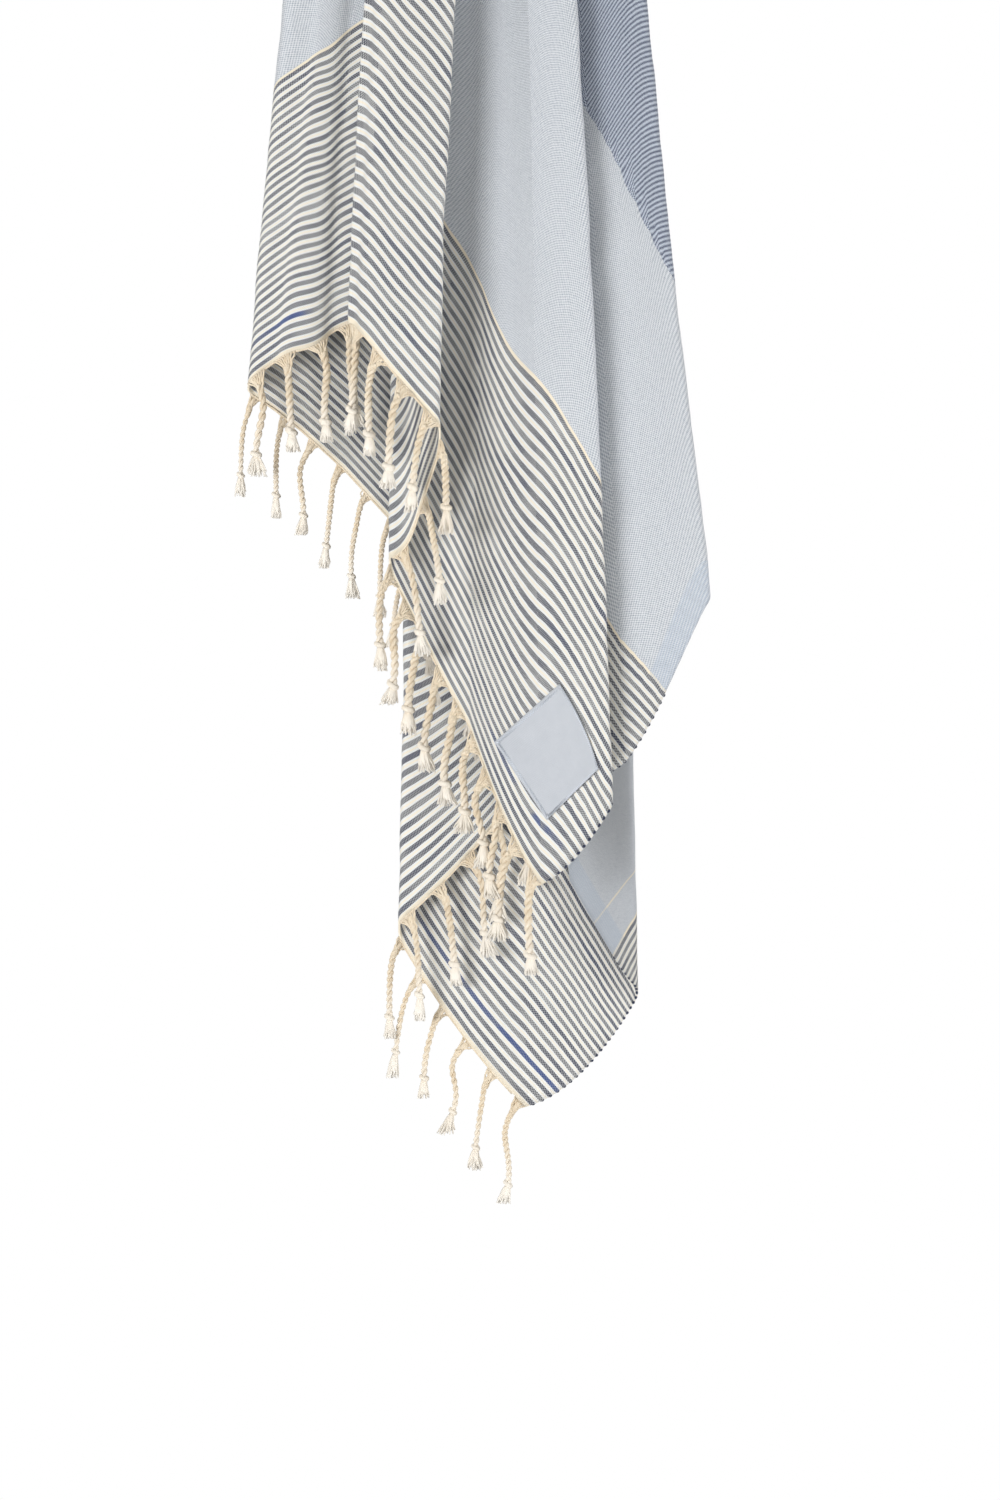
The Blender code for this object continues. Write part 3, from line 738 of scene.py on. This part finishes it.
class Tassels:
    # one panel's tassels: their roots on the hem, two level axes there, their centre paths and their fullness

    def __init__(self, half, panel, seed):
        self.half, self.panel = half, panel
        self.rng = np.random.default_rng(seed)
        s, self.spread = tasselPlaces(half, panel)
        self.count = len(s)
        self.root = half.hemPoints(s)
        along = unit(half.hemPoints(s + 0.02) - half.hemPoints(s - 0.02))
        self.level = unit(along * (1.0, 1.0, 0.0))
        self.outwards = np.stack([self.level[:, 1], -self.level[:, 0], np.zeros(self.count)], axis=-1)
        self.hang(s, np.cross(along, self.outwards))
        self.full = panel.fullness * self.draw(fringe.fullness, 1)
        self.knot = self.total - self.draw(brush.length, 1)

    def draw(self, limits, *shape):
        return self.rng.uniform(*limits, (self.count, *shape))

    def hang(self, s, down):
        # centre path: out of the hem, bending into the hang as an exponential dies away and drifting with the
        # cloth, with a lean and a slow sine curve of its own
        alone = (self.count, 1, 1)
        t = np.linspace(0.0, 1.0, fringe.pathPoints)[None, :, None]
        total = (fringe.length - 1.0) * self.draw(fringe.lengthShare, 1, 1)
        lean = self.rng.normal(0.0, fringe.lean, alone) * self.level[:, None]
        lean = lean + self.rng.normal(*fringe.outwardLean, alone) * self.outwards[:, None]
        turns = np.pi * self.draw(fringe.swayTurns, 1, 1)
        sway = self.rng.normal(0.0, fringe.sway, alone) * self.level[:, None]
        sway = sway * np.sin(t * turns) * np.minimum(t * 3, 1.0)
        sink = total * t
        bend = fan.drop * (1 - np.exp(-sink / fan.drop))
        path = self.root[:, None] + bend * down[:, None] + (sink - bend) * np.array([0.0, 0.0, -1.0])
        height = self.root[:, 2]
        below = np.stack([*self.half.section(s, height - fringe.driftDepth), height], axis=-1)
        slide = (below - self.root)[:, None] * (sink / fringe.driftDepth) * fringe.driftShare
        self.path, self.total = path + slide + lean * sink + sway, total[:, :, 0]

    def at(self, distance):
        # points of the centre paths at distances below the root, given as tassels by points
        last = fringe.pathPoints - 1
        place = np.clip(distance / self.total * last, 0, last - 0.001)
        low = place.astype(int)
        part = (place - low)[..., None]
        rows = np.arange(self.count)[:, None]
        return self.path[rows, low] * (1 - part) + self.path[rows, low + 1] * part

    def fans(self):
        # loose warps gathered from the hem into the cord, narrowing fast and then slowly, over a thin web
        share = np.linspace(0.0, 1.0, fan.rings)
        base = self.half.hemPoints(self.spread)
        middle = base.mean(axis=1)
        fall = self.at(np.broadcast_to(share * fan.drop * fan.fall, (self.count, fan.rings)))
        fall = fall - fall[:, :1] + middle[:, None]
        narrowing = ((1 - share) ** fan.narrowing)[None, :, None]
        gathered = (share ** fan.gathering)[None, :, None] * self.full[:, :, None]
        level = self.level[:, None] * fan.gatheredWidth * gathered
        least, gain, power = fan.web
        web = (least + gain * share ** power)[None, :, None]
        halfWidth = (base[:, -1:] - base[:, :1]) / 2 * narrowing * web + level
        thin, thick = fan.webDepth
        halfDepth = self.outwards[:, None] * (thin + thick * gathered)
        sides = np.linspace(-1.0, 1.0, fan.warps)[None, :, None, None]
        warps = fall[:, None] + (base - middle[:, None])[:, :, None] * narrowing[:, None]
        warps = warps + level[:, None] * sides + self.outwards[:, None, None] * fan.warpLift
        loose = (self.count, fan.warps, fan.rings - 2, 3)
        warps[:, :, 1:-1] += self.rng.normal(0.0, fan.looseness, loose)
        radii = np.linspace(*fan.warpRadius, fan.rings)[None, :] * self.panel.fullness
        return loft(fall, halfWidth, halfDepth, 16), tubes(warps.reshape(-1, fan.rings, 3), radii, 6)

    def plies(self):
        # two plies wound round the centre path, half a turn apart
        start = fan.drop * cord.start
        span = start + (self.knot + 1.0 - start) * np.linspace(0.0, 1.0, cord.rings)[None, :]
        centres = self.at(span)
        pitch = cord.twistPitch * self.panel.fullness * self.draw(cord.pitchShare, 1)
        turn = 2 * np.pi * span / pitch
        turn = turn + self.draw((0, 2 * np.pi), 1)
        plump = self.full * (1.0 + cord.swelling * np.sin(span / cord.swellLength + turn[:, :1]))
        reach = (cord.radius * self.full)[..., None]
        axes = pathFrames(centres)
        return [tubes(centres + onCircle(turn + phase, axes) * reach, cord.plyRadius * plump, 7)
                for phase in (0.0, np.pi)]

    def knots(self):
        # the cord once round itself, on a slant
        spread = np.linspace(-1, 1, knot.rings)[None, :]
        around = np.linspace(0.0, knot.turns * np.pi, knot.rings)[None, :] + self.draw((0, 2 * np.pi), 1)
        slant = self.draw(knot.slant, 1) * self.full
        height = slant * np.cos(around * knot.slantTurns) + knot.halfHeight * self.full * spread
        axes = pathFrames(self.at(self.knot + spread))
        centres = self.at(self.knot + height) + onCircle(around, axes) * knot.radius * self.full[..., None]
        return tubes(centres, knot.yarnRadius * self.full, 7)

    def brushes(self):
        # a soft core, and loose ends that leave it at all angles, flare by a power of their length and curl
        share = np.linspace(0.0, 1.0, brush.coreRings)[None, :]
        start = self.knot + brush.start
        reach = self.total - start
        centres = self.at(start + share * reach * brush.coreLength)
        first, second = pathFrames(centres)
        least, more = brush.coreRadius
        plump = (self.full * (least + more * np.sin(share * 2.2)))[..., None]
        core = loft(centres, first * plump, second * plump * 0.8, 10)
        strands, rings = brush.strands, brush.rings
        share = np.linspace(0.0, 1.0, rings)[None, None, :]
        angle = self.draw((0, 2 * np.pi), strands, 1)
        distance = start[:, :, None] + share * reach[:, :, None] * self.draw(brush.strandLength, strands, 1)
        centres = self.at(distance.reshape(self.count, -1)).reshape(self.count, strands, rings, 3)
        flare = brush.width * self.draw(brush.widthShare, 1, 1)
        flare = flare * np.sqrt(self.draw(brush.strandPlace, strands, 1))
        spread = 1.0 + flare * share ** self.draw(brush.fray, strands, 1)
        curl = brush.curl * np.sin(share * self.draw(brush.curlTurns, strands, 1) + angle) * share
        drawn = ((spread + curl) * np.cos(angle))[..., None] * self.level[:, None, None]
        drawn = drawn + (spread * brush.flatness * np.sin(angle))[..., None] * self.outwards[:, None, None]
        paths = (centres + drawn * self.full[:, :, None, None]).reshape(-1, rings, 3)
        return core, tubes(paths, np.linspace(*brush.strandRadius, rings)[None, :], 4)

    def hemLine(self):
        # the edge of the weave that the fringe leaves from
        places = self.half.columns()
        places = places[(places >= self.spread.min()) & (places <= self.spread.max())]
        return tubes(self.half.hemPoints(places)[None] - (0.0, 0.0, fringe.hemDrop), fringe.hemYarn, 6)

    def paleTipAndPaintedLightShare(self, points):
        # how far down its tassel each point is, as a share of the length, which sets the whiter tip that is
        # partly painted light on the loose strands
        depth = self.root[:, None, 2] - points.reshape(self.count, -1, 3)[..., 2]
        return np.clip(depth.reshape(-1) / fringe.length, 0.0, 1.0)


def makeFringe(half, panel, material, seed):
    # all the tassels of one panel and its hem line, in one piece
    tassels = Tassels(half, panel, seed)
    parts = [*tassels.fans(), *tassels.plies(), tassels.knots(), *tassels.brushes()]
    # each point's share down its tassel, for the whiter tip that is partly painted light
    whitened = [tassels.paleTipAndPaintedLightShare(points) for points, _ in parts]
    parts.append(tassels.hemLine())
    whitened.append(np.zeros(len(parts[-1][0])))
    points = np.concatenate([points for points, _ in parts])
    starts = np.cumsum([0] + [len(points) for points, _ in parts[:-1]])
    faces = np.concatenate([faces + start for (_, faces), start in zip(parts, starts)])
    name = half.name + "_" + panel.node
    return addPiece("yarn_" + name, withShoulders(points), faces, material, "fringe_" + name,
                    values={"whitened": np.concatenate(whitened)})


def yarnFinish():
    # fibres: noise drawn out along the hang, over softer patches, and whiter towards the tip; the whitening is
    # partly painted light that lifts the shade the loose brush strands fall in
    material, shader, words = startMaterial("fringeYarn")
    place = words.node("TexCoord", output=3)
    drawn = words.node("VectorMath", {"operation": "MULTIPLY"}, _0=place, _1=(1.0, 1.0, 0.12))
    fine = drawn.noise(1500.0, 2.0)
    yarn = (place.noise(90.0, 2.0) * 0.8 + fine * 1.4 - 0.65).clamped().mix(fringe.shade, fringe.light)
    # partly painted light: the yarn turns whiter further down the tassel, which lifts the shade on the loose
    # strands
    colour = ((pointValue(words, "whitened") - 0.35) * 1.6).clamped().mix(yarn, fringe.tip)
    finishMaterial(shader, words, colour, 0.9, fine, 0.0005)
    shader.inputs["Sheen Weight"].default_value = 0.3
    return material


loop = Numbers(
    halfLength=1.2, radius=0.95,
    profile=(0.35, 0.85, 1.0, 0.85, 0.35),
    inset=0.4,
    stripePlace=0.75,  # of the middle of the dark rows, as a share of a stripe
    edgeSamples=900,
    light=tone(66, 74, 98),
)


def makeLoops(halves, material):
    # where a dark stripe meets a long edge its yarn turns back in a small loop, a short bead along the edge
    paths = []
    for half in halves:
        for corner, end in (("cornerLow", half.places[0]), ("cornerHigh", half.places[-1])):
            s = np.linspace(half.placeOf(corner), end, loop.edgeSamples)[1:]
            zero, cream, _ = half.patternLines(s)
            v = np.maximum.accumulate((half.edge(s) - zero) / (cream - zero) * cloth.stripeZone)
            stripes = (np.arange(cloth.stripes) + loop.stripePlace) * stripePitch
            at = np.interp(stripes[(stripes > v[0]) & (stripes < v[-1])], v, s)
            along = unit(half.hemPoints(at + 0.01) - half.hemPoints(at - 0.01))[:, None]
            spots = np.linspace(-1, 1, 5)[None, :, None] * loop.halfLength
            paths.append(half.hemPoints(at)[:, None] + (0.0, 0.0, loop.inset) + along * spots)
    radii = loop.radius * np.array(loop.profile)
    points, faces = tubes(withShoulders(np.concatenate(paths)), radii, 6)
    return addPiece("selvedgeLoops", points, faces, material)


label = Numbers(
    corners={"top": (62.4, -795.6), "left": (19.5, -833.3), "low": (53.9, -884.0), "right": (87.0, -851.0)},
    side=60.0,
    bulge=(2.5, 0.875),
    thickness=0.6, gap=0.55, padding=0.25,
    steps=48,
    stitchPitch=1.5, stitchInsets=(0.012, 0.040), stitchRadius=0.28, stitchLift=0.45,
    heights=(-900.0, -780.0, 60),  # of the table of the panel's depth: from, to and how many
    places=(15.0, 95.0, 200),
    satin=(tone(184, 189, 197), tone(196, 200, 207)),
    thread=(tone(206, 216, 232), tone(236, 241, 248)),
)


def panelDepth(front, x, z):
    # the depth of the main panel at x and z, from the four nearest points of a table
    s = np.linspace(front.placeOf("leftMid"), front.placeOf("ridge"), 900)
    heights, places = np.linspace(*label.heights), np.linspace(*label.places)
    sections = front.section(s[None, :], heights[:, None])
    table = np.array([np.interp(places, *section) for section in zip(*sections)])
    down = np.clip((z - heights[0]) / (heights[1] - heights[0]), 0, len(heights) - 1.001)
    across = np.clip((x - places[0]) / (places[1] - places[0]), 0, len(places) - 1.001)
    i, j = down.astype(int), across.astype(int)
    down, across = down - i, across - j
    return ((1 - down) * ((1 - across) * table[i, j] + across * table[i, j + 1])
            + down * ((1 - across) * table[i + 1, j] + across * table[i + 1, j + 1]))


def labelPoint(front, a, b):
    # a runs down the label's length and b across it, between its corners, with one side bulging as a parabola
    top, left, low, right = (np.array(label.corners[name]) for name in ("top", "left", "low", "right"))
    a, b = a[..., None], b[..., None]
    flat = (1 - a) * ((1 - b) * left + b * top) + a * ((1 - b) * low + b * right)
    flat = flat + np.array(label.bulge) * 4 * a * (1 - a) * b ** 2
    x, z = flat[..., 0], flat[..., 1]
    return np.stack([x, panelDepth(front, x, z), z], axis=-1)


def makeLabel(front, material):
    # a thin sheet in front of the panel, a little padded inside its rim
    share = np.linspace(0, 1, label.steps + 1)
    a, b = np.meshgrid(share, share, indexing="ij")
    grid = labelPoint(front, a, b)
    normals = gridNormals(grid)
    normals *= -np.sign(normals[..., 1:2])
    inside = np.clip(np.minimum(np.minimum(a, 1 - a), np.minimum(b, 1 - b)) * 8, 0, 1)
    puff = label.padding * (1 + inside * ripple(a * label.side, b * label.side, 11, 40.0))
    lift = cloth.thickness / 2 + label.gap + label.thickness / 2 + puff
    points, faces = shell(grid + normals * lift[..., None], label.thickness)
    uvs = np.tile(np.stack([a, b], -1).reshape(-1, 2) * label.side, (2, 1))[faces]
    return addPiece("satinLabel", points, faces, material, "label", uvs)


def makeStitches(front, material):
    # a zigzag round the four sides, now near the rim and now further in
    count = int(4 * label.side / label.stitchPitch) * 2
    way = np.linspace(0.0, 4.0, count, endpoint=False)
    inset = np.where(np.arange(count) % 2 == 0, *label.stitchInsets)
    side = np.floor(way).astype(int)
    along = inset + (1 - 2 * inset) * (way - side)
    a = np.choose(side, [inset, along, 1 - inset, 1 - along])
    b = np.choose(side, [along, 1 - inset, 1 - along, inset])
    path = labelPoint(front, a, b)
    path[:, 1] -= cloth.thickness / 2 + label.gap + label.thickness + label.stitchLift
    points, faces = tubes(np.concatenate([path, path[:1]])[None], label.stitchRadius, 5)
    return addPiece("labelStitches", points, faces, material)


def satinFinish():
    # soft patches under the fine lines of the two threads
    material, shader, words = startMaterial("labelSatin")
    place, u, v = weavePlace(words)
    fine = (u * (2 * np.pi / 0.5)).sine() * 0.5 + (v * (2 * np.pi / 0.9)).sine() * 0.5
    colour = (place.noise(0.12, 2.0) * 0.8 + fine * 0.12).clamped().mix(*label.satin)
    finishMaterial(shader, words, colour, 0.42, fine, 0.00006)
    return material


front, rear = Half("front"), Half("back")
towel = makeCloth(front, rear, wovenCotton())
print("cloth:", len(towel.data.vertices), "points")

yarn = yarnFinish()
fringes = [makeFringe(half, panel, yarn, 100 + 10 * index + number)
           for number, half in enumerate((front, rear)) for index, panel in enumerate(panels)]
print("fringe:", sum(len(piece.data.polygons) for piece in fringes), "faces")

labelPiece = makeLabel(front, satinFinish())
stitchPiece = makeStitches(front, plainYarn("stitchThread", 1800.0, *label.thread, 0.6, 0.0001))
print("label: made, with its stitches")

selvedgeYarn = plainYarn("selvedgeYarn", 1400.0, weave.navy, loop.light, 0.9, 0.0003)
loops = makeLoops((front, rear), selvedgeYarn)
print("selvedge loops:", len(loops.data.polygons), "faces")

studio = Numbers(
    floor=-1750.0, floorRadius=2600.0, floorSides=96,
    floorTone=tone(238, 238, 238),
    frameHeight=975.0,  # what the picture shows at the towel's depth
    frameCentre=(22.75, -838.5),
    distance=4200.0, towelDepth=-40.0, sensorHeight=24.0,
    aim=(20.0, 0.0, -700.0),
    lights=(  # name, place, size and watts
        ("key", (-2400.0, -2800.0, -750.0), 1700.0, 98.0),
        ("side", (3050.0, -700.0, -1200.0), 1100.0, 46.0),
        ("fill", (1200.0, -2800.0, -1300.0), 1800.0, 12.0),
        ("backLight", (600.0, 2600.0, 600.0), 2000.0, 30.0),
    ),
    ambient=0.33, ambientTint=(1.0, 0.985, 0.945),
)


def makeFloor():
    # a disc: its middle, and points round its rim
    sides = studio.floorSides
    angle = np.linspace(0, 2 * np.pi, sides, endpoint=False)
    rim = np.stack([np.cos(angle), np.sin(angle)], -1) * studio.floorRadius
    points = np.concatenate([[[0, 0]], rim])
    points = np.concatenate([points, np.full((sides + 1, 1), studio.floor)], axis=1)
    faces = [(0, 1 + k, 1 + (k + 1) % sides) for k in range(sides)]
    material, shader, words = startMaterial("floorPaint")
    words.feed(shader.inputs["Base Color"], (*studio.floorTone, 1.0))
    words.feed(shader.inputs["Roughness"], 0.9)
    addMesh("floor", points, faces, material)


def addLight(name, place, size, power):
    data = bpy.data.lights.new(name, "AREA")
    data.shape, data.size, data.energy = "DISK", size * mm, power
    lamp = addObject(name, data)
    lamp.location = np.array(place) * mm
    towards = Vector(np.array(studio.aim) - np.array(place))
    lamp.rotation_euler = towards.to_track_quat("-Z", "Y").to_euler()


def makeWorld():
    # the paper behind the towel is white, and gives only part of that as light
    world = bpy.data.worlds.new("studio")
    world.use_nodes = True
    words = Value(world.node_tree, None)
    ambient = tuple(studio.ambient * part for part in studio.ambientTint)
    paper = words.node("LightPath").mix(ambient, (1.0, 1.0, 1.0))
    words.feed(world.node_tree.nodes["Background"].inputs["Color"], paper)
    bpy.context.scene.world = world
    bpy.context.scene.view_settings.view_transform = "Standard"


def makeCamera():
    data = bpy.data.cameras.new("camera")
    data.sensor_fit = "VERTICAL"
    data.sensor_height = studio.sensorHeight
    data.lens = data.sensor_height * (studio.distance + studio.towelDepth) / studio.frameHeight
    camera = addObject("camera", data)
    x, z = studio.frameCentre
    camera.location = (x * mm, -studio.distance * mm, z * mm)
    camera.rotation_euler = (np.pi / 2, 0.0, 0.0)
    bpy.context.scene.camera = camera


makeFloor()
for light in studio.lights:
    addLight(*light)
makeWorld()
makeCamera()
print("studio: floor, lights and camera")
